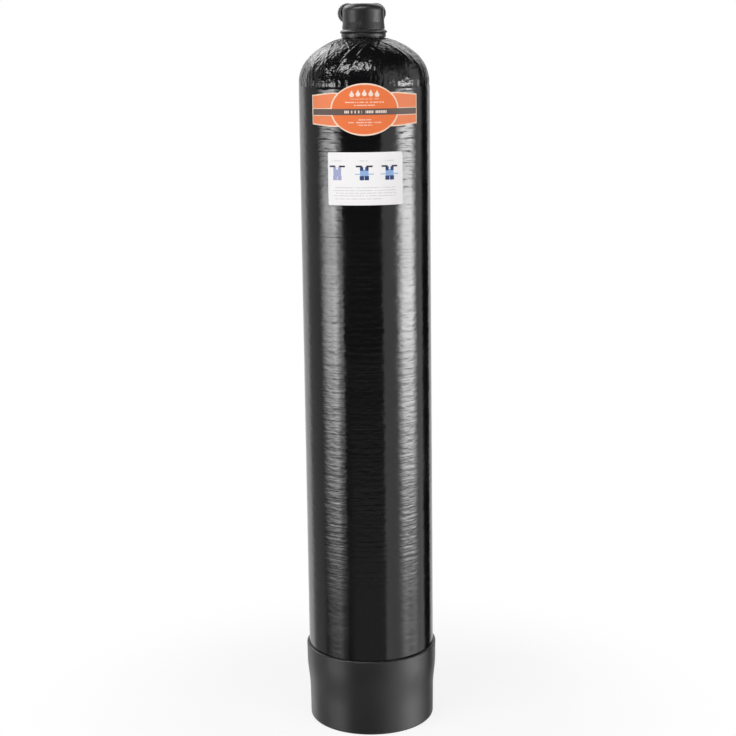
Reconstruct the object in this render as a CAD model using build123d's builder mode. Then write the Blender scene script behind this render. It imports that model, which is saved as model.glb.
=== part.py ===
import os
from math import cos, radians, sin, sqrt

from build123d import *

# Salt-free water conditioner: a wound pressure tank in a moulded boot, with an in/out head.
# Millimetres. Origin on the floor under the boot's centre, +Z up, the labels face -Y.

os.makedirs("parts", exist_ok=True)
quarter_turn = 90  # degrees

# Clearances
bond_gap = 0.1  # glue or weld line between fixed pieces
running_gap = 0.3  # between pieces that move past each other
seal_gap = 0.05  # between a seal and the walls that squeeze it

# Tank
tank_radius = 128.5
wrap_wall = 3.0
liner_wall = 3.5
tank_lift = 28.0  # floor to the pole of the lower dome
lower_dome = 90.0
barrel_length = 1184.0
upper_dome = 89.0

# Neck insert
neck_bore = 36.0
neck_wall = 4.5
neck_length = 29.0
collar_radius = 43.4
collar_height = 6.7
collar_edge = 1.2
anchor_radius = 54.0
anchor_thickness = 4.0

# Boot
boot_height = 158.0
boot_foot_inset = 0.5  # the foot stands in from the tank's side by this much
boot_foot_draft = 0.8
boot_foot_edge = 5.0
boot_straight = 60.0  # height where the flare begins
boot_flare_top = 128.0  # height where the flare ends
boot_rim_wall = 4.8
boot_rim_edge = 2.2
boot_wall = 3.6
boot_floor = 4.0
boot_floor_hole = 40.0
boot_grip_bottom = 106.0  # lower edge of the band that grips the tank
boot_rim_draft = 0.4
boot_rim_lead = 1.2
boot_rib_inner = 46.0
boot_rib_top = 90.0
boot_rib_count = 12
boot_rib_thickness = 3.2
boot_drain_radius = 6.0
boot_drain_circle = 84.0

# Head
head_yaw = 3.6  # degrees, where the head came tight on its thread
head_height = 57.1  # seat to top
head_radius = 40.4
head_foot_radius = 41.6
head_foot_flare = 12.0
head_shoulder_width = 18.0
head_shoulder_height = 12.5
head_wall = 5.0
flange_radius = 46.0
flange_height = 7.6
flange_rim = 1.0  # height of the sharp rim between the bevels
flange_seat_radius = 43.6
flange_crown_radius = 42.4
shadow_groove_height = 1.8
shadow_groove_depth = 1.4
plug_length = 26.0
plug_passage = 29.0  # radius of the annular way down through the plug
head_ring_section = 1.9
head_ring_drop = 5.0  # seat to the middle of the seal

# Riser tube
riser_radius = 13.35
riser_wall = 2.7
riser_reach = 33.0  # above the plug's lower end
riser_sleeve_wall = 5.0
riser_ring_section = 1.3
riser_ring_rise = 14.0

# Ports and unions
port_spacing = 55.6
port_drop = 16.5  # head top to the port axis
port_radius = 16.4
port_bore = 12.5
port_root = 14.0  # where the port's tube starts, behind the head's axis
port_floor = 17.0
port_reach = 54.0
crossing_bore = 11.0
crossing_wall = 3.5
gasket_thickness = 2.0
tailpiece_flange = 3.5
tailpiece_neck = 14.6  # radius inside the nut, up to the shoulder that the pipe butts against
tailpiece_shoulder = 1.2
spigot_radius = 13.335
spigot_bore = 10.4
spigot_length = 22.0
spigot_edge = 1.0
nut_radius = 20.0
nut_length = 19.0
nut_lip = 3.4
nut_rib_count = 24
nut_rib_radius = 0.9
nut_edge = 1.0
nut_face_taper = 30.0  # degrees, round the rear face

# Baskets
basket_wall = 2.4
basket_slot_width = 1.4
basket_slot_height = 13.0
basket_slot_count = 24
basket_slot_tiers = 3
upper_basket_radius = 32.5
upper_basket_length = 60.0
upper_basket_floor = 3.0
snap_height = 8.0
lower_basket_radius = 29.0
lower_basket_length = 62.0
lower_basket_taper = 12.0
lower_basket_foot = 15.0
hub_plate = 4.0
hub_spigot = 5.0
hub_socket_length = 26.0
hub_socket_wall = 4.0
hub_stop = 2.5  # how far the socket's stop reaches in under the riser
hub_gusset_count = 6
hub_gusset_thickness = 2.4

# Media
media_depth = 142.0  # above the lower dome

# Labels
label_thickness = 0.35
label_glue = 0.1
front_label_drop = 51.0  # below the barrel's top edge, to the oval's centre
front_oval_width = 128.4
front_oval_height = 98.0
front_band_width = 198.4
front_band_end_height = 55.5
front_band_root_height = 64.0
instruction_label_drop = 180.8
instruction_label_width = 141.8
instruction_label_height = 100.2
instruction_label_corner = 2.5


# Height of an elliptic dome above its base circle, at a distance from the axis.
def dome_height(base_radius, crown, radius):
    return crown * sqrt(1 - (radius / base_radius) ** 2)


# Levels and radii that follow from the sizes above
barrel_bottom = tank_lift + lower_dome
boot_grip = tank_radius + bond_gap
boot_foot_radius = tank_radius - boot_foot_inset
boot_rim_radius = boot_grip + boot_rim_wall
barrel_top = barrel_bottom + barrel_length
neck_radius = neck_bore + neck_wall
collar_seat = barrel_top + dome_height(tank_radius, upper_dome, neck_radius)
head_seat = collar_seat + bond_gap + collar_height
neck_bottom = head_seat - neck_length
wrap_inside = tank_radius - wrap_wall
liner_inside = wrap_inside - liner_wall
liner_floor = tank_lift + wrap_wall + liner_wall
plug_radius = neck_bore - running_gap
plug_bottom = head_seat - plug_length
head_top = head_seat + head_height
sleeve_bore = riser_radius + running_gap
sleeve_radius = sleeve_bore + riser_sleeve_wall
riser_top = plug_bottom + riser_reach
port_height = head_top - port_drop


# Half outline of the closed tank, set in from its outer face: two quarter ellipses and the barrel.
def tank_half(inset):
    radius = tank_radius - inset
    lower = lower_dome - inset
    upper = upper_dome - inset
    with BuildSketch() as half:
        with BuildLine():
            EllipticalCenterArc((0, barrel_bottom), radius, lower, -quarter_turn, arc_size=quarter_turn)
            Line((radius, barrel_bottom), (radius, barrel_top))
            EllipticalCenterArc((0, barrel_top), radius, upper, 0, arc_size=quarter_turn)
            Line((0, barrel_top + upper), (0, barrel_bottom - lower))
        make_face()
    return half.sketch


# Upright plane through the tank's axis; its local x points outwards at this angle from +X.
def upright_plane(angle):
    outwards = (cos(radians(angle)), sin(radians(angle)), 0)
    sideways = (sin(radians(angle)), -cos(radians(angle)), 0)
    return Plane(origin=(0, 0, 0), x_dir=outwards, z_dir=sideways)


# Plane across a port's axis; side is 1 for the right-hand port and -1 for the left one.
def port_plane(side, reach):
    right = Vector(1, 0, 0).rotate(Axis.Z, head_yaw)
    back = Vector(0, 1, 0).rotate(Axis.Z, head_yaw)
    centre = right * (side * port_spacing / 2) + back * reach + Vector(0, 0, port_height)
    return Plane(origin=centre, x_dir=right, z_dir=back)


# Tank shell, wound over the liner and open at the neck
with BuildPart() as tank_wrap:
    with BuildSketch(Plane.XZ):
        add(tank_half(0))
        add(tank_half(wrap_wall), mode=Mode.SUBTRACT)
    revolve(axis=Axis.Z)
    with BuildSketch(Plane.XY.offset(barrel_top)):
        Circle(neck_radius + bond_gap)
    extrude(amount=upper_dome, mode=Mode.SUBTRACT)

tank_wrap.part.label = "tank_wrap"
export_step(tank_wrap.part, "parts/tank_wrap.step")

# Liner, face to face with the shell
with BuildPart() as tank_liner:
    with BuildSketch(Plane.XZ):
        add(tank_half(wrap_wall))
        add(tank_half(wrap_wall + liner_wall), mode=Mode.SUBTRACT)
    revolve(axis=Axis.Z)
    with BuildSketch(Plane.XY.offset(barrel_top)):
        Circle(neck_radius + bond_gap)
    extrude(amount=upper_dome, mode=Mode.SUBTRACT)

tank_liner.part.label = "tank_liner"
export_step(tank_liner.part, "parts/tank_liner.step")

# Neck insert: collar outside, tube through the wall, anchor ring under the liner
liner_crown = upper_dome - wrap_wall - liner_wall
anchor_top = barrel_top + dome_height(liner_inside, liner_crown, anchor_radius) - bond_gap
with BuildPart() as neck_insert:
    with BuildSketch(Plane.XZ):
        with BuildLine():
            Polyline(
                (neck_bore, neck_bottom),
                (neck_radius, neck_bottom),
                (neck_radius, anchor_top - anchor_thickness),
                (anchor_radius, anchor_top - anchor_thickness),
                (anchor_radius, anchor_top),
                (neck_radius, anchor_top),
                (neck_radius, collar_seat + bond_gap),
                (collar_radius, collar_seat + bond_gap),
                (collar_radius, head_seat),
                (neck_bore, head_seat),
                close=True,
            )
        make_face()
        collar_points = vertices().filter_by_position(Axis.Y, collar_seat, head_seat)
        fillet(collar_points.group_by(Axis.X)[-1], collar_edge)
    revolve(axis=Axis.Z)

neck_insert.part.label = "neck_insert"
export_step(neck_insert.part, "parts/neck_insert.step")

# Boot: a flared cup with a ring floor, and upright ribs that carry the tank's lower dome
boot_low_radius = boot_foot_radius - boot_foot_draft
rib_foot = boot_floor / 2
with BuildSketch() as rib_outline:
    with BuildLine():
        Polyline(
            (boot_rib_inner, rib_foot),
            (boot_low_radius - boot_wall / 2, rib_foot),
            (boot_foot_radius - boot_wall / 2, boot_straight),
            (boot_grip + boot_wall / 2, boot_rib_top),
            (boot_rib_inner, boot_rib_top),
            close=True,
        )
    make_face()
    add(tank_half(-bond_gap), mode=Mode.SUBTRACT)

with BuildPart() as boot:
    with BuildSketch(Plane.XZ):
        with BuildLine():
            Polyline((boot_floor_hole, 0), (boot_low_radius, 0), (boot_foot_radius, boot_straight))
            Spline(
                (boot_foot_radius, boot_straight),
                (boot_rim_radius - boot_rim_draft, boot_flare_top),
                tangents=((boot_foot_draft, boot_straight), (0, 1)),
            )
            Polyline(
                (boot_rim_radius - boot_rim_draft, boot_flare_top),
                (boot_rim_radius, boot_height),
                (boot_grip, boot_height),
                (boot_grip, boot_grip_bottom),
                (boot_foot_radius - boot_wall, boot_straight),
                (boot_low_radius - boot_wall, boot_floor),
                (boot_floor_hole, boot_floor),
                (boot_floor_hole, 0),
            )
        make_face()
        rim = vertices().group_by(Axis.Y)[-1].sort_by(Axis.X)
        fillet(rim[-1], boot_rim_edge)
        chamfer(rim[0], boot_rim_lead)
        fillet(vertices().group_by(Axis.Y)[0].sort_by(Axis.X)[-1], boot_foot_edge)
    revolve(axis=Axis.Z)
    for index in range(boot_rib_count):
        with BuildSketch(upright_plane(index * 360 / boot_rib_count)):
            add(rib_outline.sketch)
        extrude(amount=boot_rib_thickness / 2, both=True)
    with BuildSketch():
        with PolarLocations(boot_drain_circle, boot_rib_count // 2, start_angle=180 / boot_rib_count):
            Circle(boot_drain_radius)
    extrude(amount=boot_floor, mode=Mode.SUBTRACT)

boot.part.label = "boot"
export_step(boot.part, "parts/boot.step")

# Head: a round cap on a bevelled flange, a plug down into the neck, a sleeve that takes the riser,
# an annular chamber open to the plug's end, and two ports behind. The right-hand port crosses the
# chamber to the sleeve and feeds the riser, the left-hand one draws from the chamber.
flange_top = head_seat + flange_height
flange_middle = head_seat + flange_height / 2
groove_top = flange_top + shadow_groove_height
head_crown = head_radius - head_shoulder_width
chamber_radius = head_radius - head_wall
chamber_top = head_top - head_wall
seal_drop_z = head_seat - head_ring_drop
head_ring_radius = neck_bore - seal_gap - head_ring_section
head_groove_radius = head_ring_radius - head_ring_section - seal_gap
head_groove_half = head_ring_section + seal_gap
riser_ring_radius = riser_radius + seal_gap + riser_ring_section
riser_groove_radius = riser_ring_radius + riser_ring_section + seal_gap
riser_ring_z = plug_bottom + riser_ring_rise
with BuildPart() as head_body:
    with BuildSketch(Plane.XZ):
        with BuildLine():
            Polyline(
                (0, plug_bottom),
                (plug_radius, plug_bottom),
                (plug_radius, head_seat),
                (flange_seat_radius, head_seat),
                (flange_radius, flange_middle - flange_rim / 2),
                (flange_radius, flange_middle + flange_rim / 2),
                (flange_crown_radius, flange_top),
                (head_foot_radius - shadow_groove_depth, flange_top),
                (head_foot_radius - shadow_groove_depth, groove_top),
                (head_foot_radius, groove_top),
                (head_radius, groove_top + head_foot_flare),
                (head_radius, head_top - head_shoulder_height),
            )
            EllipticalCenterArc(
                (head_crown, head_top - head_shoulder_height),
                head_shoulder_width,
                head_shoulder_height,
                0,
                arc_size=quarter_turn,
            )
            Polyline((head_crown, head_top), (0, head_top), (0, plug_bottom))
        make_face()
    revolve(axis=Axis.Z)
    for side in (1, -1):
        with BuildSketch(port_plane(side, port_root)):
            Circle(port_radius)
        extrude(amount=port_reach - port_root)
    with BuildSketch(Plane.XZ):
        with BuildLine():
            Polyline(
                (sleeve_radius, plug_bottom),
                (plug_passage, plug_bottom),
                (plug_passage, flange_middle),
                (chamber_radius, groove_top),
                (chamber_radius, chamber_top),
                (sleeve_radius, chamber_top),
                close=True,
            )
        make_face()
        fillet(vertices().group_by(Axis.Y)[-1].sort_by(Axis.X)[-1], head_shoulder_height - head_wall)
    revolve(axis=Axis.Z, mode=Mode.SUBTRACT)
    crossing_end = port_plane(1, port_floor + port_bore).origin
    crossing_start = Vector(0, 0, port_height)
    crossing = Plane(origin=crossing_start, z_dir=crossing_end - crossing_start)
    with BuildSketch(crossing):
        Circle(crossing_bore + crossing_wall)
    extrude(amount=(crossing_end - crossing_start).length)
    for side in (1, -1):
        with BuildSketch(port_plane(side, port_floor)):
            Circle(port_bore)
        extrude(amount=port_reach - port_floor, mode=Mode.SUBTRACT)
    with BuildSketch(crossing):
        Circle(crossing_bore)
    extrude(amount=(crossing_end - crossing_start).length, mode=Mode.SUBTRACT)
    with BuildSketch(Plane.XZ):
        with BuildLine():
            Polyline(
                (0, plug_bottom),
                (sleeve_bore, plug_bottom),
                (sleeve_bore, riser_top + running_gap),
                (crossing_bore, riser_top + running_gap),
                (crossing_bore, port_height),
                (0, port_height),
                close=True,
            )
        make_face()
        with Locations((riser_groove_radius / 2, riser_ring_z)):
            Rectangle(riser_groove_radius, 2 * (riser_ring_section + seal_gap))
    revolve(axis=Axis.Z, mode=Mode.SUBTRACT)
    with BuildSketch(Plane.XY.offset(seal_drop_z)):
        Circle(plug_radius + bond_gap)
        Circle(head_groove_radius, mode=Mode.SUBTRACT)
    extrude(amount=head_groove_half, both=True, mode=Mode.SUBTRACT)

head_body.part.label = "head_body"
export_step(head_body.part, "parts/head_body.step")


# Seal ring of round section around the tank's axis.
def seal_ring(ring_radius, section, level):
    with BuildPart() as ring:
        with BuildSketch(Plane.XZ):
            with Locations((ring_radius, level)):
                Circle(section)
        revolve(axis=Axis.Z)
    return ring.part


with BuildPart() as head_o_ring:
    add(seal_ring(head_ring_radius, head_ring_section, seal_drop_z))

head_o_ring.part.label = "head_o_ring"
export_step(head_o_ring.part, "parts/head_o_ring.step")

with BuildPart() as riser_o_ring:
    add(seal_ring(riser_ring_radius, riser_ring_section, riser_ring_z))

riser_o_ring.part.label = "riser_o_ring"
export_step(riser_o_ring.part, "parts/riser_o_ring.step")


# Cutters for the upright slots of a basket, in tiers spread evenly over its wall.
def basket_slots(radius, low, high):
    pitch = (high - low) / basket_slot_tiers
    with BuildPart() as slots:
        for tier in range(basket_slot_tiers):
            with BuildSketch(Plane.XY.offset(low + pitch * (tier + 0.5) - basket_slot_height / 2)):
                with PolarLocations(radius - basket_wall / 2, basket_slot_count):
                    Rectangle(2 * basket_wall, basket_slot_width)
            extrude(amount=basket_slot_height)
    return slots.part


# Upper basket, snapped into the plug's end around the riser
upper_basket_bottom = plug_bottom - upper_basket_length
snap_radius = plug_passage - bond_gap
with BuildPart() as upper_basket:
    with BuildSketch(Plane.XZ):
        with BuildLine():
            Polyline(
                (sleeve_bore, upper_basket_bottom),
                (upper_basket_radius, upper_basket_bottom),
                (upper_basket_radius, plug_bottom),
                (snap_radius, plug_bottom),
                (snap_radius, plug_bottom + snap_height),
                (snap_radius - basket_wall, plug_bottom + snap_height),
                (snap_radius - basket_wall, plug_bottom - basket_wall),
                (upper_basket_radius - basket_wall, plug_bottom - basket_wall),
                (upper_basket_radius - basket_wall, upper_basket_bottom + upper_basket_floor),
                (sleeve_bore, upper_basket_bottom + upper_basket_floor),
                close=True,
            )
        make_face()
    revolve(axis=Axis.Z)
    add(
        basket_slots(
            upper_basket_radius,
            upper_basket_bottom + upper_basket_floor,
            plug_bottom - basket_wall,
        ),
        mode=Mode.SUBTRACT,
    )

upper_basket.part.label = "upper_basket"
export_step(upper_basket.part, "parts/upper_basket.step")

# Bottom distributor: a tapered slotted basket that stands on the liner's floor
liner_sag = dome_height(liner_inside, lower_dome - wrap_wall - liner_wall, lower_basket_foot)
basket_foot_z = barrel_bottom - liner_sag + bond_gap
lower_basket_top = basket_foot_z + lower_basket_length
with BuildPart() as distributor_basket:
    with BuildSketch(Plane.XZ):
        with BuildLine():
            Polyline(
                (0, basket_foot_z),
                (lower_basket_foot, basket_foot_z),
                (lower_basket_radius, basket_foot_z + lower_basket_taper),
                (lower_basket_radius, lower_basket_top),
                (lower_basket_radius - basket_wall, lower_basket_top),
                (lower_basket_radius - basket_wall, basket_foot_z + lower_basket_taper + basket_wall / 2),
                (lower_basket_foot - basket_wall / 2, basket_foot_z + basket_wall),
                (0, basket_foot_z + basket_wall),
                close=True,
            )
        make_face()
    revolve(axis=Axis.Z)
    add(
        basket_slots(
            lower_basket_radius,
            basket_foot_z + lower_basket_taper,
            lower_basket_top - hub_spigot,
        ),
        mode=Mode.SUBTRACT,
    )

distributor_basket.part.label = "distributor_basket"
export_step(distributor_basket.part, "parts/distributor_basket.step")

# Distributor hub: lid of the basket, with a gusseted socket for the riser
hub_spigot_radius = lower_basket_radius - basket_wall - bond_gap
hub_top = lower_basket_top + hub_plate
socket_bore = riser_radius + bond_gap
socket_radius = socket_bore + hub_socket_wall
socket_top = hub_top + hub_socket_length
with BuildSketch() as gusset_outline:
    with BuildLine():
        Polyline(
            (socket_radius - hub_socket_wall / 2, hub_top - hub_plate / 2),
            (lower_basket_radius - basket_wall, hub_top - hub_plate / 2),
            (lower_basket_radius - basket_wall, hub_top),
            (socket_radius, socket_top - hub_socket_wall),
            (socket_radius - hub_socket_wall / 2, socket_top - hub_socket_wall),
            close=True,
        )
    make_face()

with BuildPart() as distributor_hub:
    with BuildSketch(Plane.XZ):
        with BuildLine():
            Polyline(
                (riser_radius - hub_stop, lower_basket_top - hub_spigot),
                (hub_spigot_radius, lower_basket_top - hub_spigot),
                (hub_spigot_radius, lower_basket_top),
                (lower_basket_radius, lower_basket_top),
                (lower_basket_radius, hub_top),
                (socket_radius, hub_top),
                (socket_radius, socket_top),
                (socket_bore, socket_top),
                (socket_bore, lower_basket_top),
                (riser_radius - hub_stop, lower_basket_top),
                close=True,
            )
        make_face()
    revolve(axis=Axis.Z)
    for index in range(hub_gusset_count):
        with BuildSketch(upright_plane(index * 360 / hub_gusset_count)):
            add(gusset_outline.sketch)
        extrude(amount=hub_gusset_thickness / 2, both=True)

distributor_hub.part.label = "distributor_hub"
export_step(distributor_hub.part, "parts/distributor_hub.step")

# Riser tube, from the hub's stop to the head's sleeve
with BuildPart() as riser_tube:
    with BuildSketch(Plane.XY.offset(lower_basket_top)):
        Circle(riser_radius)
        Circle(riser_radius - riser_wall, mode=Mode.SUBTRACT)
    extrude(amount=riser_top - lower_basket_top)

riser_tube.part.label = "riser_tube"
export_step(riser_tube.part, "parts/riser_tube.step")

# Media bed: the grains fill the tank's foot around the distributor
media_top = barrel_bottom + media_depth
media_hole = lower_basket_radius + running_gap
with BuildPart() as media_bed:
    with BuildSketch(Plane.XZ):
        add(tank_half(wrap_wall + liner_wall + bond_gap))
        with BuildLine():
            Polyline(
                (0, 0),
                (lower_basket_foot + running_gap, 0),
                (lower_basket_foot + running_gap, basket_foot_z),
                (media_hole, basket_foot_z + lower_basket_taper),
                (media_hole, hub_top),
                (socket_radius + running_gap, socket_top + running_gap),
                (riser_radius + running_gap, socket_top + running_gap),
                (riser_radius + running_gap, head_top),
                (0, head_top),
                close=True,
            )
        make_face(mode=Mode.SUBTRACT)
        with Locations((0, media_top)):
            Rectangle(2 * tank_radius, head_top, align=(Align.CENTER, Align.MIN), mode=Mode.SUBTRACT)
    revolve(axis=Axis.Z)

media_bed.part.label = "media_bed"
export_step(media_bed.part, "parts/media_bed.step")

# Unions: gasket, flanged tailpiece and ribbed nut on each port
gasket_end = port_reach + gasket_thickness
flange_end = gasket_end + tailpiece_flange
nut_shoulder = flange_end + seal_gap
nut_end = nut_shoulder + nut_lip
neck_end = nut_end + tailpiece_shoulder
nut_bore = port_radius + running_gap
for name, side in (("inlet", 1), ("outlet", -1)):
    with BuildPart() as gasket:
        with BuildSketch(port_plane(side, port_reach)):
            Circle(port_radius)
            Circle(port_bore, mode=Mode.SUBTRACT)
        extrude(amount=gasket_thickness)

    gasket.part.label = f"{name}_gasket"
    export_step(gasket.part, f"parts/{name}_gasket.step")

    with BuildPart() as tailpiece:
        with BuildSketch(port_plane(side, gasket_end)):
            Circle(port_radius)
        extrude(amount=tailpiece_flange)
        with BuildSketch(port_plane(side, flange_end)):
            Circle(tailpiece_neck)
        extrude(amount=neck_end - flange_end)
        with BuildSketch(port_plane(side, neck_end)):
            Circle(spigot_radius)
        extrude(amount=spigot_length)
        end_face = tailpiece.faces().sort_by(Axis((0, 0, 0), port_plane(side, 0).z_dir))[-1]
        chamfer(end_face.edges(), spigot_edge)
        with BuildSketch(port_plane(side, gasket_end)):
            Circle(spigot_bore)
        extrude(amount=neck_end + spigot_length - gasket_end, mode=Mode.SUBTRACT)

    tailpiece.part.label = f"{name}_tailpiece"
    export_step(tailpiece.part, f"parts/{name}_tailpiece.step")

    with BuildPart() as nut:
        with BuildSketch(port_plane(side, nut_end - nut_length)):
            Circle(nut_radius - nut_rib_radius)
            with PolarLocations(nut_radius - nut_rib_radius, nut_rib_count):
                Circle(nut_rib_radius)
        extrude(amount=nut_length - nut_edge)
        with BuildSketch(port_plane(side, nut_end - nut_edge)):
            Circle(nut_radius - nut_rib_radius)
        extrude(amount=nut_edge, taper=nut_face_taper)
        with BuildSketch(port_plane(side, nut_end - nut_length)):
            Circle(nut_bore)
        extrude(amount=nut_length - nut_lip, mode=Mode.SUBTRACT)
        with BuildSketch(port_plane(side, nut_end)):
            Circle(tailpiece_neck + running_gap)
        extrude(amount=-nut_lip, mode=Mode.SUBTRACT)

    nut.part.label = f"{name}_union_nut"
    export_step(nut.part, f"parts/{name}_union_nut.step")


# Label: a flat outline pressed onto the front of the barrel.
def wrap_label(outline, level):
    with BuildPart() as label:
        with BuildSketch(Plane(origin=(0, 0, level), x_dir=(1, 0, 0), z_dir=(0, -1, 0))):
            add(outline)
        extrude(amount=2 * tank_radius)
        with BuildSketch(Plane.XY.offset(tank_lift)):
            Circle(tank_radius + label_glue + label_thickness)
            Circle(tank_radius + label_glue, mode=Mode.SUBTRACT)
        extrude(amount=barrel_top, mode=Mode.INTERSECT)
    return label.part


# Front label: a flared band across an upright-centred oval
with BuildSketch() as front_outline:
    Ellipse(front_oval_width / 2, front_oval_height / 2)
    with BuildLine():
        Polyline(
            (-front_band_width / 2, front_band_end_height / 2),
            (-front_oval_width / 2, front_band_root_height / 2),
            (front_oval_width / 2, front_band_root_height / 2),
            (front_band_width / 2, front_band_end_height / 2),
            (front_band_width / 2, -front_band_end_height / 2),
            (front_oval_width / 2, -front_band_root_height / 2),
            (-front_oval_width / 2, -front_band_root_height / 2),
            (-front_band_width / 2, -front_band_end_height / 2),
            close=True,
        )
    make_face()

with BuildPart() as front_label:
    add(wrap_label(front_outline.sketch, barrel_top - front_label_drop))

front_label.part.label = "front_label"
export_step(front_label.part, "parts/front_label.step")

with BuildSketch() as instruction_outline:
    RectangleRounded(instruction_label_width, instruction_label_height, instruction_label_corner)

with BuildPart() as instruction_label:
    add(wrap_label(instruction_outline.sketch, barrel_top - instruction_label_drop))

instruction_label.part.label = "instruction_label"
export_step(instruction_label.part, "parts/instruction_label.step")
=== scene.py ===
import bpy
import math
from mathutils import Matrix, Vector
from mathutils.noise import cell as cellAt, noise as noiseAt


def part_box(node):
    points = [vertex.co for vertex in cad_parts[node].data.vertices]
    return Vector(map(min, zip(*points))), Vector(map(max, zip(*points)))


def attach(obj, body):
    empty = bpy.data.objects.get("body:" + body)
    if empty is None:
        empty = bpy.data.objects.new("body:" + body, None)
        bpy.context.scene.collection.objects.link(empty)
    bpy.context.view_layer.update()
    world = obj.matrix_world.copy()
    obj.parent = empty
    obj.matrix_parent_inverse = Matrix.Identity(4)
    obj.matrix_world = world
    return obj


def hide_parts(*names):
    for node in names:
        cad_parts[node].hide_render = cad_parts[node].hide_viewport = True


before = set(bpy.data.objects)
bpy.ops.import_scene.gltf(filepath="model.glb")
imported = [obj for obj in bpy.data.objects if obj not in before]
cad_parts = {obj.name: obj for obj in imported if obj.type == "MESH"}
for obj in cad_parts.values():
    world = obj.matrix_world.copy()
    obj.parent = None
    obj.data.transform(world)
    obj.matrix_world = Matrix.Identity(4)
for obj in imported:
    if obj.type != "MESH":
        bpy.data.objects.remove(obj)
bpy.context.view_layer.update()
print("frame loaded")


def cleanSelection():
    if bpy.context.mode != "OBJECT":
        bpy.ops.object.mode_set(mode="OBJECT")
    bpy.ops.object.select_all(action="DESELECT")


# Camera: a little above the head, looking slightly down
cameraSetup = {"distance": 3.097, "height": 1.334, "pitch": 10.164, "roll": -0.733, "lens": 76.47,
               "shiftX": 0.0006, "shiftY": -0.03125}


def addCamera(c):
    bpy.ops.object.camera_add()
    camera = bpy.context.object
    camera.name = "viewCamera"
    place = Matrix.Translation((0, -c["distance"], c["height"]))
    tilt = Matrix.Rotation(math.radians(90 - c["pitch"]), 4, "X")
    roll = Matrix.Rotation(math.radians(c["roll"]), 4, "Z")
    camera.matrix_world = place @ tilt @ roll
    camera.data.lens = c["lens"]
    camera.data.shift_x = c["shiftX"]
    camera.data.shift_y = c["shiftY"]
    bpy.context.scene.camera = camera


cleanSelection()
addCamera(cameraSetup)

# Soft lamps for the diffuse light; azimuth is seen from above, 0 at the camera and positive to the right
lamps = {
    "leftFront": {"azimuth": -48, "distance": 3.4, "middle": 2.2, "width": 2.4, "height": 1.8, "watts": 66},
    "rightFront": {"azimuth": 44, "distance": 3.4, "middle": 1.9, "width": 2.4, "height": 1.8, "watts": 48},
    "overhead": {"azimuth": -20, "distance": 0.6, "middle": 3.6, "width": 1.6, "height": 1.6, "watts": 22},
}
lampTarget = Vector((0, 0, 0.9))


def addLamp(name, s):
    angle = math.radians(s["azimuth"])
    spot = Vector((math.sin(angle) * s["distance"], -math.cos(angle) * s["distance"], s["middle"]))
    bpy.ops.object.light_add(type="AREA", location=spot)
    lamp = bpy.context.object
    lamp.name = name
    lamp.rotation_euler = (lampTarget - spot).to_track_quat("-Z", "Y").to_euler()
    lamp.data.shape = "RECTANGLE"
    lamp.data.size = s["width"]
    lamp.data.size_y = s["height"]
    lamp.data.energy = s["watts"]
    lamp.visible_glossy = False  # what gloss reflects is the studio in the world below


for name, values in lamps.items():
    cleanSelection()
    addLamp(name, values)


# Node helpers
def place(tree, kind, **settings):
    node = tree.nodes.new(kind)
    for key, value in settings.items():
        setattr(node, key, value)
    return node


def feed(tree, socket, value):
    if isinstance(value, bpy.types.NodeSocket):
        tree.links.new(value, socket)
    else:
        socket.default_value = value


def maths(tree, operation, a, b=0.0, clamp=False):
    node = place(tree, "ShaderNodeMath", operation=operation, use_clamp=clamp)
    feed(tree, node.inputs[0], a)
    feed(tree, node.inputs[1], b)
    return node.outputs[0]


def ramp(tree, value, low, high, toLow=0.0, toHigh=1.0, smooth=True):
    node = place(tree, "ShaderNodeMapRange", interpolation_type="SMOOTHSTEP" if smooth else "LINEAR")
    for socket, given in zip(node.inputs, (value, low, high, toLow, toHigh)):
        feed(tree, socket, given)
    return node.outputs[0]


def blendColour(tree, factor, a, b):
    node = place(tree, "ShaderNodeMix", data_type="RGBA")
    feed(tree, node.inputs[0], factor)
    feed(tree, node.inputs[6], a)
    feed(tree, node.inputs[7], b)
    return node.outputs[2]


def noise(tree, vector, scale, detail=2.0, roughness=0.5):
    node = place(tree, "ShaderNodeTexNoise")
    feed(tree, node.inputs["Vector"], vector)
    node.inputs["Scale"].default_value = scale
    node.inputs["Detail"].default_value = detail
    node.inputs["Roughness"].default_value = roughness
    return node.outputs["Fac"]


def stretched(tree, vector, scale):
    node = place(tree, "ShaderNodeMapping")
    feed(tree, node.inputs["Vector"], vector)
    node.inputs["Scale"].default_value = scale
    return node.outputs["Vector"]


def newGroup(name, inputs, outputs):
    group = bpy.data.node_groups.new(name, "ShaderNodeTree")
    for label, kind in inputs:
        group.interface.new_socket(name=label, in_out="INPUT", socket_type=kind)
    for label, kind in outputs:
        group.interface.new_socket(name=label, in_out="OUTPUT", socket_type=kind)
    return group, group.nodes.new("NodeGroupInput").outputs, group.nodes.new("NodeGroupOutput").inputs


def useGroup(tree, group, **values):
    node = place(tree, "ShaderNodeGroup", node_tree=group)
    for key, value in values.items():
        feed(tree, node.inputs[key], value)
    return node.outputs


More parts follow.
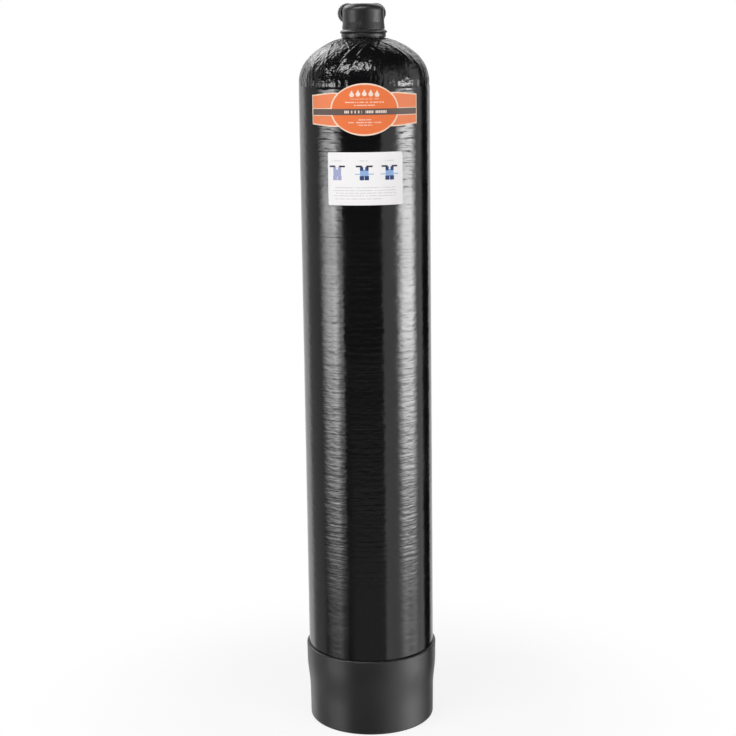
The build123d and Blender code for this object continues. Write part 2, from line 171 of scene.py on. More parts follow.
# World: white to the eye. Gloss reflects a studio of black flags, two tall softboxes at the sides,
# a long one overhead and white walls behind; azimuth and elevation in degrees
studio = {
    "fill": 0.26,
    "walls": [  # from, to, softness of both edges, level; azimuths
        (-181, -140, 1, 20, 0.95), (-132, -96, 18, 10, 0.46), (30, 68, 3, 10, 0.95), (94, 113, 12, 7, 0.9),
        (149, 181, 9, 1, 0.9),
    ],
    "wallTop": 24, "wallTopSoft": 22,
    "softboxes": [(-68, -59, 26, 12, 8.6), (-58, -43.5, 8, 1.5, 3.2), (72, 83, 20, 18, 15.5)],
    "boxTop": -1.5, "boxTopSoft": 2, "boxLow": -21, "boxFull": -5.5, "boxFloor": 0.09,
    "backWindow": [(-158, -128, 8, 14, 3.6), (152, 172, 10, 8, 1.2)],
    "backLow": 26, "backHigh": 50, "backSoft": 7,
    "floorGlow": 0.26, "floorFrom": -8, "floorTo": -20, "floorReach": 46,
    "overhead": {"left": -1.6, "right": 0.12, "front": -0.90, "back": -0.62, "soft": 0.08, "level": 13.0},
}


def between(tree, value, low, high, softLow, softHigh):
    rising = ramp(tree, value, low - softLow, low)
    return maths(tree, "MULTIPLY", rising, ramp(tree, value, high + softHigh, high))


def bandsOf(tree, azimuth, bands):  # upright bands of light, each with its own soft edges and level
    total = 0.0
    for low, high, softLow, softHigh, level in bands:
        part = maths(tree, "MULTIPLY", between(tree, azimuth, low, high, softLow, softHigh), level)
        total = maths(tree, "ADD", total, part)
    return total


def buildWorld(w):
    world = bpy.data.worlds.new("paleStudio")
    bpy.context.scene.world = world
    world.use_nodes = True
    tree = world.node_tree
    tree.nodes.clear()
    direction = place(tree, "ShaderNodeSeparateXYZ")
    tree.links.new(place(tree, "ShaderNodeTexCoord").outputs["Generated"], direction.inputs[0])
    x, y, z = direction.outputs
    degrees = 180 / math.pi
    azimuth = maths(tree, "MULTIPLY", maths(tree, "ARCTAN2", x, maths(tree, "MULTIPLY", y, -1)), degrees)
    elevation = maths(tree, "MULTIPLY", maths(tree, "ARCSINE", z), degrees)
    walls = bandsOf(tree, azimuth, w["walls"])
    walls = maths(tree, "MULTIPLY", walls, ramp(tree, elevation, w["wallTop"] + w["wallTopSoft"], w["wallTop"]))
    boxes = bandsOf(tree, azimuth, w["softboxes"])
    boxes = maths(tree, "MULTIPLY", boxes, ramp(tree, elevation, w["boxTop"] + w["boxTopSoft"], w["boxTop"]))
    boxes = maths(tree, "MULTIPLY", boxes, ramp(tree, elevation, w["boxLow"], w["boxFull"], w["boxFloor"], 1))
    behind = between(tree, elevation, w["backLow"], w["backHigh"], w["backSoft"], w["backSoft"])
    behind = maths(tree, "MULTIPLY", bandsOf(tree, azimuth, w["backWindow"]), behind)
    inFront = ramp(tree, maths(tree, "ABSOLUTE", azimuth), w["floorReach"], w["floorReach"] * 0.5)
    glow = maths(tree, "MULTIPLY", inFront, ramp(tree, elevation, w["floorFrom"], w["floorTo"], 0, w["floorGlow"]))
    o = w["overhead"]
    up = maths(tree, "MAXIMUM", z, 0.05)
    across = between(tree, maths(tree, "DIVIDE", x, up), o["left"], o["right"], o["soft"], o["soft"])
    along = between(tree, maths(tree, "DIVIDE", y, up), o["front"], o["back"], o["soft"], o["soft"])
    above = maths(tree, "MULTIPLY", maths(tree, "MULTIPLY", across, along), o["level"])
    mirrored = maths(tree, "ADD", maths(tree, "ADD", walls, boxes), maths(tree, "ADD", glow, above))
    mirrored = maths(tree, "ADD", mirrored, behind)
    path = place(tree, "ShaderNodeLightPath")
    seen = maths(tree, "MAXIMUM", path.outputs["Is Camera Ray"], path.outputs["Is Transmission Ray"])
    glossy = maths(tree, "MULTIPLY", path.outputs["Is Glossy Ray"], mirrored)
    rest = maths(tree, "SUBTRACT", 1, maths(tree, "MAXIMUM", seen, path.outputs["Is Glossy Ray"]))
    level = maths(tree, "ADD", maths(tree, "ADD", seen, glossy), maths(tree, "MULTIPLY", rest, w["fill"]))
    background = place(tree, "ShaderNodeBackground")
    background.inputs["Color"].default_value = (1, 1, 1, 1)
    tree.links.new(level, background.inputs["Strength"])
    output = place(tree, "ShaderNodeOutputWorld")
    tree.links.new(background.outputs[0], output.inputs[0])
    world.cycles.sampling_method = "NONE"  # the pattern is only for what bounces off the gloss


buildWorld(studio)

# Floor: pale near the object, where it keeps the shadow, and as white as the backdrop far off
floorLook = {"radius": 14.0, "colour": 0.93, "shadowReach": 0.30, "whiteFrom": 0.80, "whiteLeast": 0.84}


def buildFloor(f):
    bpy.ops.mesh.primitive_circle_add(vertices=96, radius=f["radius"], fill_type="NGON", location=(0, 0, 0))
    floor = bpy.context.object
    floor.name = "paleFloor"
    material = bpy.data.materials.new("paleFloor")
    material.use_nodes = True
    tree = material.node_tree
    shader = tree.nodes["Principled BSDF"]
    shader.inputs["Base Color"].default_value = (f["colour"],) * 3 + (1,)
    shader.inputs["Roughness"].default_value = 0.9
    spot = place(tree, "ShaderNodeVectorMath", operation="LENGTH")
    tree.links.new(place(tree, "ShaderNodeTexCoord").outputs["Object"], spot.inputs[0])
    away = ramp(tree, spot.outputs["Value"], f["shadowReach"], f["whiteFrom"], f["whiteLeast"], 1)
    path = place(tree, "ShaderNodeLightPath")
    white = place(tree, "ShaderNodeEmission")
    mix = place(tree, "ShaderNodeMixShader")
    tree.links.new(maths(tree, "MULTIPLY", away, path.outputs["Is Camera Ray"]), mix.inputs[0])
    tree.links.new(shader.outputs[0], mix.inputs[1])
    tree.links.new(white.outputs[0], mix.inputs[2])
    tree.links.new(mix.outputs[0], tree.nodes["Material Output"].inputs[0])
    floor.data.materials.append(material)
    floor.visible_glossy = False  # the world's glow stands for it in reflections


cleanSelection()
buildFloor(floorLook)
print("camera, lights and floor set")


# Shared effects
def buildGrain():  # fine spark-eroded skin of moulded plastic
    group, given, out = newGroup("mouldedGrain", [("Place", "NodeSocketVector"), ("Size", "NodeSocketFloat")],
                                 [("Height", "NodeSocketFloat"), ("Patches", "NodeSocketFloat")])
    scaled = place(group, "ShaderNodeVectorMath", operation="SCALE")
    group.links.new(given["Place"], scaled.inputs[0])
    group.links.new(given["Size"], scaled.inputs["Scale"])
    group.links.new(noise(group, scaled.outputs[0], 1.0, 3.0, 0.6), out["Height"])
    group.links.new(noise(group, given["Place"], 9.0, 3.0), out["Patches"])
    return group


def buildCylinderPlace():  # arc length round the tank from its front line, and height, in metres
    group, given, out = newGroup("roundTank", [("Place", "NodeSocketVector"), ("Radius", "NodeSocketFloat")],
                                 [("Arc", "NodeSocketFloat"), ("Up", "NodeSocketFloat")])
    parts = place(group, "ShaderNodeSeparateXYZ")
    group.links.new(given["Place"], parts.inputs[0])
    turned = maths(group, "MULTIPLY", parts.outputs["Y"], -1)
    arc = maths(group, "MULTIPLY", maths(group, "ARCTAN2", parts.outputs["X"], turned), given["Radius"])
    group.links.new(arc, out["Arc"])
    group.links.new(parts.outputs["Z"], out["Up"])
    return group


def buildFieldMask(oval):  # 1 inside a box or an oval of the print, in millimetres
    names = ["Arc", "Up", "MiddleArc", "MiddleUp", "HalfWidth", "HalfHeight"]
    group, given, out = newGroup("ovalField" if oval else "boxField", [(n, "NodeSocketFloat") for n in names],
                                 [("Mask", "NodeSocketFloat")])
    across = maths(group, "DIVIDE", maths(group, "SUBTRACT", given["Arc"], given["MiddleArc"]), given["HalfWidth"])
    upward = maths(group, "DIVIDE", maths(group, "SUBTRACT", given["Up"], given["MiddleUp"]), given["HalfHeight"])
    if oval:
        reach = maths(group, "SQRT", maths(group, "ADD", maths(group, "POWER", across, 2),
                                           maths(group, "POWER", upward, 2)))
    else:
        reach = maths(group, "MAXIMUM", maths(group, "ABSOLUTE", across), maths(group, "ABSOLUTE", upward))
    group.links.new(maths(group, "LESS_THAN", reach, 1.0), out["Mask"])
    return group


def buildThread():  # ridges of a screw thread round the vector's Z, in metres, 0 to 1 high
    names = ["Pitch", "Inner", "Outer", "Low", "High"]
    group, given, out = newGroup("screwThread", [("Place", "NodeSocketVector")] + [(n, "NodeSocketFloat") for n in names],
                                 [("Height", "NodeSocketFloat")])
    parts = place(group, "ShaderNodeSeparateXYZ")
    group.links.new(given["Place"], parts.inputs[0])
    x, y, z = parts.outputs
    turned = maths(group, "DIVIDE", maths(group, "ARCTAN2", y, x), math.tau)
    phase = maths(group, "FRACT", maths(group, "SUBTRACT", maths(group, "DIVIDE", z, given["Pitch"]), turned))
    ridge = ramp(group, maths(group, "ABSOLUTE", maths(group, "SUBTRACT", phase, 0.5)), 0.42, 0.12)
    reach = maths(group, "SQRT", maths(group, "ADD", maths(group, "POWER", x, 2), maths(group, "POWER", y, 2)))
    for value, low, high in ((reach, given["Inner"], given["Outer"]), (z, given["Low"], given["High"])):
        ridge = maths(group, "MULTIPLY", ridge, maths(group, "GREATER_THAN", value, low))
        ridge = maths(group, "MULTIPLY", ridge, maths(group, "LESS_THAN", value, high))
    group.links.new(ridge, out["Height"])
    return group


threadGroup = buildThread()
grainGroup = buildGrain()
roundTankGroup = buildCylinderPlace()
boxFieldGroup = buildFieldMask(False)
ovalFieldGroup = buildFieldMask(True)


def newMaterial(name, colour, roughness, **more):
    material = bpy.data.materials.new(name)
    material.use_nodes = True
    shader = material.node_tree.nodes["Principled BSDF"]
    shader.inputs["Base Color"].default_value = tuple(colour) + (1,)
    shader.inputs["Roughness"].default_value = roughness
    for key, value in more.items():
        shader.inputs[key.replace("_", " ")].default_value = value
    tree = material.node_tree
    where = place(tree, "ShaderNodeTexCoord").outputs["Object"]
    return material, tree, shader, where


def addBump(tree, shader, height, distance, strength=1.0):
    bump = place(tree, "ShaderNodeBump")
    bump.inputs["Strength"].default_value = strength
    bump.inputs["Distance"].default_value = distance
    tree.links.new(height, bump.inputs["Height"])
    tree.links.new(bump.outputs[0], shader.inputs["Normal"])


# Threads: on the head's plug, in the neck and on the two ports, which stand behind a head turned by its yaw
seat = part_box("head_body")[1].z - 0.0571
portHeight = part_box("head_body")[1].z - 0.0165
headYaw = math.radians(3.6)
portSide = 0.0278
plugThread = {"Pitch": 0.003175, "Inner": 0.0352, "Outer": 0.0360, "Low": seat - 0.0250, "High": seat - 0.0085}
neckThread = {"Pitch": 0.003175, "Inner": 0.0356, "Outer": 0.0364, "Low": seat - 0.0275, "High": seat - 0.0080}
portThread = {"Pitch": 0.002309, "Inner": 0.0160, "Outer": 0.0168, "Low": 0.0390, "High": 0.0530}


def portPlace(tree, where, side):  # across, up and along a port's axis
    right = Vector((math.cos(headYaw), math.sin(headYaw), 0))
    back = Vector((-math.sin(headYaw), math.cos(headYaw), 0))
    joined = place(tree, "ShaderNodeCombineXYZ")
    for number, (way, start) in enumerate(((right, side * portSide), (Vector((0, 0, 1)), portHeight), (back, 0))):
        along = place(tree, "ShaderNodeVectorMath", operation="DOT_PRODUCT")
        tree.links.new(where, along.inputs[0])
        along.inputs[1].default_value = way
        tree.links.new(maths(tree, "SUBTRACT", along.outputs["Value"], start), joined.inputs[number])
    return joined.outputs[0]


def threadHeight(tree, where, name):
    if name == "neckPlastic":
        return useGroup(tree, threadGroup, Place=where, **neckThread)["Height"]
    if name != "headPlastic":
        return 0.0
    height = useGroup(tree, threadGroup, Place=where, **plugThread)["Height"]
    for side in (-1, 1):
        port = useGroup(tree, threadGroup, Place=portPlace(tree, where, side), **portThread)["Height"]
        height = maths(tree, "MAXIMUM", height, port)
    return height


# Moulded plastics, rubber and the hidden parts' finishes
plastics = {
    "bootPlastic": {"colour": (0.0085, 0.0085, 0.009), "rough": 0.38, "spread": 0.10, "size": 900, "depth": 0.00004},
    "headPlastic": {"colour": (0.013, 0.013, 0.0135), "rough": 0.40, "spread": 0.10, "size": 1100, "depth": 0.00004,
                    "thread": 0.0009},
    "neckPlastic": {"colour": (0.016, 0.016, 0.017), "rough": 0.36, "spread": 0.10, "size": 1100, "depth": 0.00003,
                    "thread": 0.0009},
    "unionPlastic": {"colour": (0.13, 0.13, 0.135), "rough": 0.28, "spread": 0.10, "size": 1300, "depth": 0.00003},
    "sealRubber": {"colour": (0.012, 0.012, 0.012), "rough": 0.6, "spread": 0.05, "size": 1500, "depth": 0.00002},
    "linerPlastic": {"colour": (0.75, 0.75, 0.72), "rough": 0.45, "spread": 0.10, "size": 400, "depth": 0.00008},
    "pipePlastic": {"colour": (0.70, 0.70, 0.68), "rough": 0.35, "spread": 0.08, "size": 700, "depth": 0.00003},
    "basketPlastic": {"colour": (0.45, 0.45, 0.44), "rough": 0.4, "spread": 0.08, "size": 900, "depth": 0.00003},
}


def buildPlastic(name, p):
    material, tree, shader, where = newMaterial(name, p["colour"], p["rough"])
    grain = useGroup(tree, grainGroup, Place=where, Size=p["size"])
    roughness = ramp(tree, grain["Patches"], 0.3, 0.7, p["rough"] - p["spread"] / 2, p["rough"] + p["spread"] / 2)
    tree.links.new(roughness, shader.inputs["Roughness"])
    lighter = tuple(min(1, c * 1.5 + 0.003) for c in p["colour"]) + (1,)
    tree.links.new(blendColour(tree, grain["Patches"], tuple(p["colour"]) + (1,), lighter), shader.inputs["Base Color"])
    ridges = maths(tree, "MULTIPLY", threadHeight(tree, where, name), p.get("thread", 0) / p["depth"])
    addBump(tree, shader, maths(tree, "ADD", grain["Height"], ridges), p["depth"])
    return material


made = {name: buildPlastic(name, values) for name, values in plastics.items()}

# Media grains: the dark colour is painted shade toward each grain's edge, where the grains meet
mediaLook = {"pale": (0.62, 0.52, 0.36), "dark": (0.30, 0.22, 0.13), "grain": 900}


def buildMedia(m):
    material, tree, shader, where = newMaterial("mediaGrains", m["pale"], 0.7)
    cells = place(tree, "ShaderNodeTexVoronoi")
    cells.inputs["Scale"].default_value = m["grain"]
    tree.links.new(where, cells.inputs["Vector"])
    # pale at each grain's middle and darker toward its edge: painted shade in the crevices that the bump also carves
    tree.links.new(blendColour(tree, cells.outputs["Distance"], m["pale"] + (1,), m["dark"] + (1,)),
                   shader.inputs["Base Color"])
    addBump(tree, shader, maths(tree, "SUBTRACT", 1, cells.outputs["Distance"]), 0.0006)
    return material


made["mediaGrains"] = buildMedia(mediaLook)

# Wound shell in two layers: crossing bands that run over the domes, and hoops on the barrel
shell = {
    "wall": 0.003, "hoopLayer": 0.0005, "segments": 384, "domeRings": 72, "footRings": 9, "insideRings": 14,
    "bands": 84, "bandDepth": 0.0011, "bandTurn": 0.041, "lumps": 0.0005, "lumpSize": 0.006,
}
hoops = {
    "segments": 192, "step": 0.0032, "endDrop": 0.0085, "endWave": 0.0022, "lip": 0.0012,
    "swell": 0.00030, "swellArc": 0.013, "swellUp": 0.0042, "slowSwell": 0.00016, "slowArc": 0.07, "slowUp": 0.05,
}
shellLow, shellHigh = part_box("tank_wrap")
tankRadius = shellHigh.x
footDome = 0.090
barrelBottom = shellLow.z + footDome
barrelTop = barrelBottom + 1.184
neckHole = 0.0406
domeHeight = (shellHigh.z - barrelTop) / math.sqrt(1 - (neckHole / tankRadius) ** 2)
bandRadius = tankRadius - shell["hoopLayer"]


def domePoint(radius, crown, angle, base):  # a quarter ellipse, 0 at its base and 90 at the pole
    return Vector((radius * math.cos(math.radians(angle)), 0, base + crown * math.sin(math.radians(angle))))


def domeRun(radius, crown, base, first, last, steps):
    return [domePoint(radius, crown, first + (last - first) * i / steps, base) for i in range(steps + 1)]


def neckAngle(radius):
    return math.degrees(math.acos(neckHole / radius))


def drawOutline(points):  # a chain of edges, drawn out from one vertex
    cleanSelection()
    bpy.ops.mesh.primitive_plane_add(size=0.01, location=(0, 0, 0))
    bpy.ops.object.mode_set(mode="EDIT")
    bpy.ops.mesh.select_all(action="SELECT")
    bpy.ops.mesh.merge(type="CENTER")
    bpy.ops.transform.translate(value=points[0])
    for before, after in zip(points, points[1:]):
        bpy.ops.mesh.extrude_vertices_move(TRANSFORM_OT_translate={"value": after - before})


def spinOutline(name, points, segments, axis=(0, 0, 1), centre=(0, 0, 0)):
    drawOutline(points)
    bpy.ops.mesh.select_all(action="SELECT")
    bpy.ops.mesh.spin(steps=segments, angle=math.tau, center=centre, axis=axis)
    bpy.ops.mesh.select_all(action="SELECT")
    bpy.ops.mesh.remove_doubles(threshold=0.00001)
    bpy.ops.mesh.normals_make_consistent(inside=False)
    bpy.ops.object.mode_set(mode="OBJECT")
    piece = bpy.context.object
    piece.name = name
    piece.data.name = name
    bpy.ops.object.shade_smooth_by_angle(angle=math.radians(50))
    return piece


def wave(spot, arc, up, seed):  # 0 to 1, in long low waves round the tank
    return 0.5 + 0.5 * noiseAt(Vector((spot.x / arc + seed, spot.y / arc, spot.z / up)))


def bandSweep(radius, s):  # how far a band has turned round the neck by this radius
    steps = 24
    turned = 0.0
    span = math.acos(min(1.0, s["bandTurn"] / radius))
    for i in range(steps):
        angle = span * (i + 0.5) / steps
        here = s["bandTurn"] / math.cos(angle)
        rise = domeHeight * here / (tankRadius * math.sqrt(max(0.0004, tankRadius ** 2 - here ** 2)))
        turned += math.sqrt(1 + rise ** 2) * span / steps
    return turned


def bandHeight(turn, s, seed):  # crowned bands side by side, each a little higher or lower
    number = turn / math.tau * s["bands"]
    index = math.floor(number) % s["bands"]
    within = number - math.floor(number)
    level = cellAt(Vector((index * 7.3 + seed, seed * 3.1, 0.5)))
    return (0.25 + 0.75 * level) * math.sin(math.pi * within) ** 0.6


def windBands(piece, s):
    sweeps = {}
    for vertex in piece.data.vertices:
        spot = vertex.co
        radius = math.hypot(spot.x, spot.y)
        inner = bandRadius - s["wall"] / 2
        rise = (spot.z - barrelTop) / (domeHeight - s["wall"] / 2)
        if spot.z < barrelTop - 0.03 or radius < inner and (radius / inner) ** 2 + rise ** 2 < 1:
            continue
        outward = Vector((spot.x / tankRadius ** 2, spot.y / tankRadius ** 2,
                          max(0, spot.z - barrelTop) / domeHeight ** 2)).normalized()
        key = round(radius, 5)
        if key not in sweeps:
            sweeps[key] = bandSweep(max(radius, s["bandTurn"] + 0.0001), s)
        angle = math.atan2(spot.y, spot.x)
        rising = bandHeight(angle - sweeps[key], s, 2.0)
        falling = bandHeight(angle + sweeps[key], s, 5.0)
        depth = s["bandDepth"] * (1 - max(rising, falling))
        depth += s["lumps"] * wave(spot, s["lumpSize"], s["lumpSize"], 4.0)
        vertex.co = spot - outward * depth


def windHoops(piece, h):
    top = barrelTop - h["endDrop"]
    for vertex in piece.data.vertices:
        spot = vertex.co
        outward = Vector((spot.x, spot.y, 0)).normalized()
        if math.hypot(spot.x, spot.y) > bandRadius + 0.0001:
            depth = h["swell"] * wave(spot, h["swellArc"], h["swellUp"], 3.0)
            depth += h["slowSwell"] * wave(spot, h["slowArc"], h["slowUp"], 7.0)
            spot = spot - outward * depth
        if spot.z > top - 0.004:  # the last turn wanders
            spot = spot + Vector((0, 0, h["endWave"] * (wave(spot, 0.03, 1.0, 1.0) - 0.5)))
        vertex.co = spot


def buildBandLayer(s):
    outer = domeRun(bandRadius, -footDome, barrelBottom, 90, 0, s["footRings"])
    outer += domeRun(bandRadius, domeHeight, barrelTop, 0, neckAngle(bandRadius), s["domeRings"])
    outer.insert(s["footRings"] + 1, Vector((bandRadius, 0, barrelTop - 0.031)))
    outer[s["footRings"] + 2:s["footRings"] + 2] = [Vector((bandRadius, 0, barrelTop - 0.03 + 0.003 * i))
                                                    for i in range(10)]
    inner = tankRadius - s["wall"]
    outer += domeRun(inner, domeHeight - s["wall"], barrelTop, neckAngle(inner), 0, s["insideRings"])
    outer += domeRun(inner, s["wall"] - footDome, barrelBottom, 0, 90, s["insideRings"])
    piece = spinOutline("woundBands", outer, s["segments"])
    windBands(piece, s)
    return piece


def buildHoopLayer(h):
    top = barrelTop - h["endDrop"]
    steps = round((top - h["lip"] - barrelBottom) / h["step"])
    outer = [Vector((bandRadius, 0, barrelBottom))]
    outer += [Vector((tankRadius, 0, barrelBottom + h["lip"] + (top - 2 * h["lip"] - barrelBottom) * i / steps))
              for i in range(steps + 1)]
    outer += [Vector((bandRadius - 0.0002, 0, top)), Vector((bandRadius - 0.0002, 0, barrelBottom)),
              Vector((bandRadius, 0, barrelBottom))]
    piece = spinOutline("woundHoops", outer, h["segments"])
    windHoops(piece, h)
    return piece


woundBands = buildBandLayer(shell)
woundHoops = buildHoopLayer(hoops)
for layer in (woundBands, woundHoops):
    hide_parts("tank_wrap")
    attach(layer, "tank")
print("shell wound", len(woundBands.data.polygons), len(woundHoops.data.polygons))


resinLook = {
    "colour": (0.0050, 0.0050, 0.0055), "rough": 0.11, "roughPatch": 0.07,
    "turns": 0.42, "fine": 0.12, "drift": 0.36, "ropes": 1.1, "calm": 0.30, "calmFrom": 0.44, "calmTo": 0.24,
}


def buildRelief(r):  # height of the wound surface in millimetres: hoop turns below, lumpy ropes on the dome
    group, given, out = newGroup("windingRelief", [("Place", "NodeSocketVector")],
                                 [("Height", "NodeSocketFloat"), ("Patches", "NodeSocketFloat")])
    where = given["Place"]
    turns = noise(group, stretched(group, where, (2.6, 2.6, 185)), 1.0, 2.0, 0.55)
    fine = noise(group, stretched(group, where, (3, 3, 430)), 1.0, 2.0, 0.6)
    drift = noise(group, stretched(group, where, (58, 58, 130)), 1.0, 1.0, 0.5)
    ropes = noise(group, stretched(group, where, (150, 150, 150)), 1.0, 2.0, 0.5)
    patches = noise(group, stretched(group, where, (4, 4, 16)), 1.0, 2.0)
    height = maths(group, "MULTIPLY", turns, r["turns"])
    height = maths(group, "ADD", height, maths(group, "MULTIPLY", fine, r["fine"]))
    height = maths(group, "MULTIPLY", height, ramp(group, patches, 0.35, 0.65, 0.45, 1.0))
    height = maths(group, "ADD", height, maths(group, "MULTIPLY", drift, r["drift"]))
    parts = place(group, "ShaderNodeSeparateXYZ")
    group.links.new(where, parts.inputs[0])
    height = maths(group, "MULTIPLY", height, ramp(group, parts.outputs["Z"], r["calmTo"], r["calmFrom"], r["calm"], 1))
    onDome = ramp(group, parts.outputs["Z"], barrelTop - hoops["endDrop"] - 0.001, barrelTop)
    height = blendValue(group, onDome, height, maths(group, "MULTIPLY", ropes, r["ropes"]))
    group.links.new(height, out["Height"])
    group.links.new(patches, out["Patches"])
    return group


def blendValue(tree, factor, a, b):
    return maths(tree, "ADD", a, maths(tree, "MULTIPLY", factor, maths(tree, "SUBTRACT", b, a)))


reliefGroup = buildRelief(resinLook)


def buildResin(r):
    material, tree, shader, where = newMaterial("woundResin", r["colour"], r["rough"])
    relief = useGroup(tree, reliefGroup, Place=where)
    addBump(tree, shader, relief["Height"], 0.001)
    rougher = ramp(tree, relief["Patches"], 0.3, 0.7, r["rough"], r["rough"] + r["roughPatch"])
    tree.links.new(rougher, shader.inputs["Roughness"])
    return material


made["woundResin"] = buildResin(resinLook)
for layer in (woundBands, woundHoops):
    layer.data.materials.append(made["woundResin"])

# Labels: print is laid out in millimetres from each label's middle
def labelMiddle(node):
    low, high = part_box(node)
    return (low.z + high.z) / 2 * 1000


def labelField(tree, where, node):  # arc length and height on the label, in millimetres
    onTank = useGroup(tree, roundTankGroup, Place=where, Radius=tankRadius * 1000)
    up = maths(tree, "SUBTRACT", maths(tree, "MULTIPLY", onTank["Up"], 1000), labelMiddle(node))
    return onTank["Arc"], up


def field(tree, spot, box, oval=False):
    return useGroup(tree, ovalFieldGroup if oval else boxFieldGroup, Arc=spot[0], Up=spot[1],
                    MiddleArc=box[0], MiddleUp=box[1], HalfWidth=box[2], HalfHeight=box[3])["Mask"]


def anyOf(tree, masks):
    total = masks[0]
    for mask in masks[1:]:
        total = maths(tree, "MAXIMUM", total, mask)
    return total


def buildGreeked():  # a row of plain strokes in groups, like small print seen from afar
    names = ["Arc", "Up", "MiddleArc", "MiddleUp", "HalfWidth", "HalfHeight", "Stroke"]
    group, given, out = newGroup("smallPrint", [(n, "NodeSocketFloat") for n in names],
                                 [("Mask", "NodeSocketFloat")])
    box = useGroup(group, boxFieldGroup, **{n: given[n] for n in names[:-1]})["Mask"]
    step = maths(group, "DIVIDE", given["Arc"], given["Stroke"])
    cell = place(group, "ShaderNodeTexWhiteNoise", noise_dimensions="2D")
    joined = place(group, "ShaderNodeCombineXYZ")
    group.links.new(maths(group, "FLOOR", step), joined.inputs[0])
    group.links.new(given["MiddleUp"], joined.inputs[1])
    group.links.new(joined.outputs[0], cell.inputs["Vector"])
    inked = maths(group, "GREATER_THAN", cell.outputs["Value"], 0.16)
    gap = maths(group, "GREATER_THAN", maths(group, "FRACT", step), 0.28)
    group.links.new(maths(group, "MULTIPLY", box, maths(group, "MULTIPLY", inked, gap)), out["Mask"])
    return group


smallPrintGroup = buildGreeked()


def printLine(tree, spot, line):
    return useGroup(tree, smallPrintGroup, Arc=spot[0], Up=spot[1], MiddleArc=line[0], MiddleUp=line[1],
                    HalfWidth=line[2], HalfHeight=line[3], Stroke=line[4])["Mask"]


orangeLabel = {
    "halfArc": 67.3, "halfHeight": 49.0, "edge": 3.0, "bandHalf": 113.5, "bandEnd": 27.75, "bandRoot": 32.0,
    "bandEdge": 2.5, "stripeUp": -4.2, "stripeHalf": 5.8, "stripeLine": 1.3,
    "cream": (0.86, 0.66, 0.52), "wing": (0.80, 0.235, 0.105), "oval": (0.79, 0.185, 0.060),
    "stripe": (0.115, 0.085, 0.075), "print": (0.86, 0.70, 0.60),
    "lines": [(0, 19.8, 27, 0.5, 0.9), (0, 13.6, 37, 1.0, 1.6), (0, 8, 20, 0.9, 1.5), (0, -19, 12, 0.9, 1.5),
              (0, -24, 31, 1.0, 1.5), (0, -29, 14, 0.9, 1.5)],
    "stripeMarks": [(-23, 2.5, 18), (22, 2.5, 20)],
    "drops": [(-24, 27.5), (-12, 28.5), (0, 29), (12, 28.5), (24, 27.5)],
}


def buildOrange(o):
    material, tree, shader, where = newMaterial("orangeFilm", o["wing"], 0.5)
    shader.inputs["Specular IOR Level"].default_value = 0.25
    arc, up = labelField(tree, where, "front_label")
    spot = (arc, up)
    oval = field(tree, spot, (0, 0, o["halfArc"], o["halfHeight"]), True)
    ovalField = field(tree, spot, (0, 0, o["halfArc"] - o["edge"], o["halfHeight"] - o["edge"]), True)
    halfBand = ramp(tree, maths(tree, "ABSOLUTE", arc), o["halfArc"], o["bandHalf"], o["bandRoot"], o["bandEnd"],
                    smooth=False)
    within = maths(tree, "LESS_THAN", maths(tree, "ABSOLUTE", up), maths(tree, "SUBTRACT", halfBand, o["bandEdge"]))
    notEnd = maths(tree, "LESS_THAN", maths(tree, "ABSOLUTE", arc), o["bandHalf"] - o["bandEdge"])
    wing = maths(tree, "MULTIPLY", within, notEnd)
    colour = blendColour(tree, wing, o["cream"] + (1,), o["wing"] + (1,))
    colour = blendColour(tree, oval, colour, o["cream"] + (1,))
    colour = blendColour(tree, ovalField, colour, o["oval"] + (1,))
    stripeEdge = field(tree, spot, (0, o["stripeUp"], 200, o["stripeHalf"] + o["stripeLine"]))
    outside = maths(tree, "SUBTRACT", 1, ovalField)
    colour = blendColour(tree, maths(tree, "MULTIPLY", stripeEdge, outside), colour, o["cream"] + (1,))
    stripe = field(tree, spot, (0, o["stripeUp"], o["bandHalf"] - o["bandEdge"], o["stripeHalf"]))
    colour = blendColour(tree, stripe, colour, o["stripe"] + (1,))
    marks = [printLine(tree, spot, line) for line in o["lines"]]
    marks += [printLine(tree, spot, (m[0], o["stripeUp"], m[2], m[1], 3.3)) for m in o["stripeMarks"]]
    for middleArc, middleUp in o["drops"]:
        marks.append(field(tree, spot, (middleArc, middleUp, 4.4, 4.2), True))
        marks.append(field(tree, spot, (middleArc, middleUp + 3.6, 1.9, 4.2), True))
    colour = blendColour(tree, anyOf(tree, marks), colour, o["print"] + (1,))
    tree.links.new(colour, shader.inputs["Base Color"])
    relief = useGroup(tree, reliefGroup, Place=where)
    addBump(tree, shader, relief["Height"], 0.0004)
    return material


made["orangeFilm"] = buildOrange(orangeLabel)

whiteLabel = {
    "paper": (0.86, 0.845, 0.85), "ink": (0.56, 0.56, 0.58), "pale": (0.27, 0.42, 0.68), "deep": (0.030, 0.060, 0.16),
    "dark": (0.035, 0.035, 0.038), "first": (0.36, 0.38, 0.58), "columns": [-55, -2, 47], "faint": 34,
    "text": [(0, -16.6, 60), (-2, -22, 62), (1, -27, 60), (-1, -32, 61), (-14, -38, 46)],
}


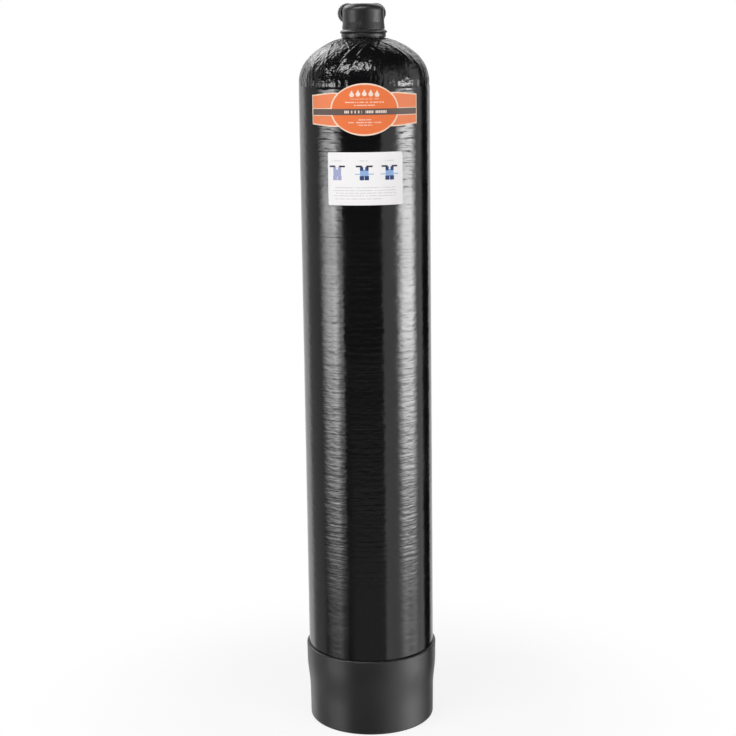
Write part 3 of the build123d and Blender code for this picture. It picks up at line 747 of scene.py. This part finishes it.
def buildWhite(w):
    material, tree, shader, where = newMaterial("whiteFilm", w["paper"], 0.5)
    shader.inputs["Specular IOR Level"].default_value = 0.2
    arc, up = labelField(tree, where, "instruction_label")
    spot = (arc, up)
    lines = [printLine(tree, spot, (middle, height, half, 0.75, 1.9)) for middle, height, half in w["text"]]
    lines += [printLine(tree, spot, (column, w["faint"], 9, 0.8, 2.1)) for column in w["columns"]]
    colour = blendColour(tree, anyOf(tree, lines), w["paper"] + (1,), w["ink"] + (1,))
    for number, column in enumerate(w["columns"]):  # a pair of taps over each stage of the vessel
        ends = w["deep"] if number else w["first"]
        if number:
            colour = blendColour(tree, field(tree, spot, (column, 8.9, 18, 0.8)), colour, w["pale"] + (1,))
        body = field(tree, spot, (column, 11, 8, 6.5))
        colour = blendColour(tree, body, colour, w["pale" if number else "first"] + (1,))
        legs = anyOf(tree, [field(tree, spot, (column + side * 5, 19, 3.2, 3.6)) for side in (-1, 1)])
        feet = anyOf(tree, [field(tree, spot, (column + side * 4.6, 1.5, 4.2, 4.0)) for side in (-1, 1)])
        colour = blendColour(tree, anyOf(tree, [legs, feet]), colour, ends + (1,))
        taps = anyOf(tree, [field(tree, spot, (column + side * 10, 23.6, 6, 1.6)) for side in (-1, 1)])
        colour = blendColour(tree, taps, colour, w["dark"] + (1,))
    tree.links.new(colour, shader.inputs["Base Color"])
    relief = useGroup(tree, reliefGroup, Place=where)
    addBump(tree, shader, relief["Height"], 0.0004)
    return material


made["whiteFilm"] = buildWhite(whiteLabel)

# Finishes go on the frame's own parts
finishes = {
    "boot": "bootPlastic", "tank_liner": "linerPlastic", "neck_insert": "neckPlastic",
    "head_body": "headPlastic", "head_o_ring": "sealRubber", "riser_o_ring": "sealRubber",
    "upper_basket": "basketPlastic", "distributor_basket": "basketPlastic", "distributor_hub": "basketPlastic",
    "riser_tube": "pipePlastic", "media_bed": "mediaGrains", "front_label": "orangeFilm",
    "instruction_label": "whiteFilm", "inlet_gasket": "sealRubber", "outlet_gasket": "sealRubber",
    "inlet_tailpiece": "unionPlastic", "outlet_tailpiece": "unionPlastic",
    "inlet_union_nut": "unionPlastic", "outlet_union_nut": "unionPlastic",
}
for node, finish in finishes.items():
    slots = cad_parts[node].data.materials
    slots.clear()
    slots.append(made[finish])
print("finishes set")

bpy.context.scene.view_settings.view_transform = "Standard"
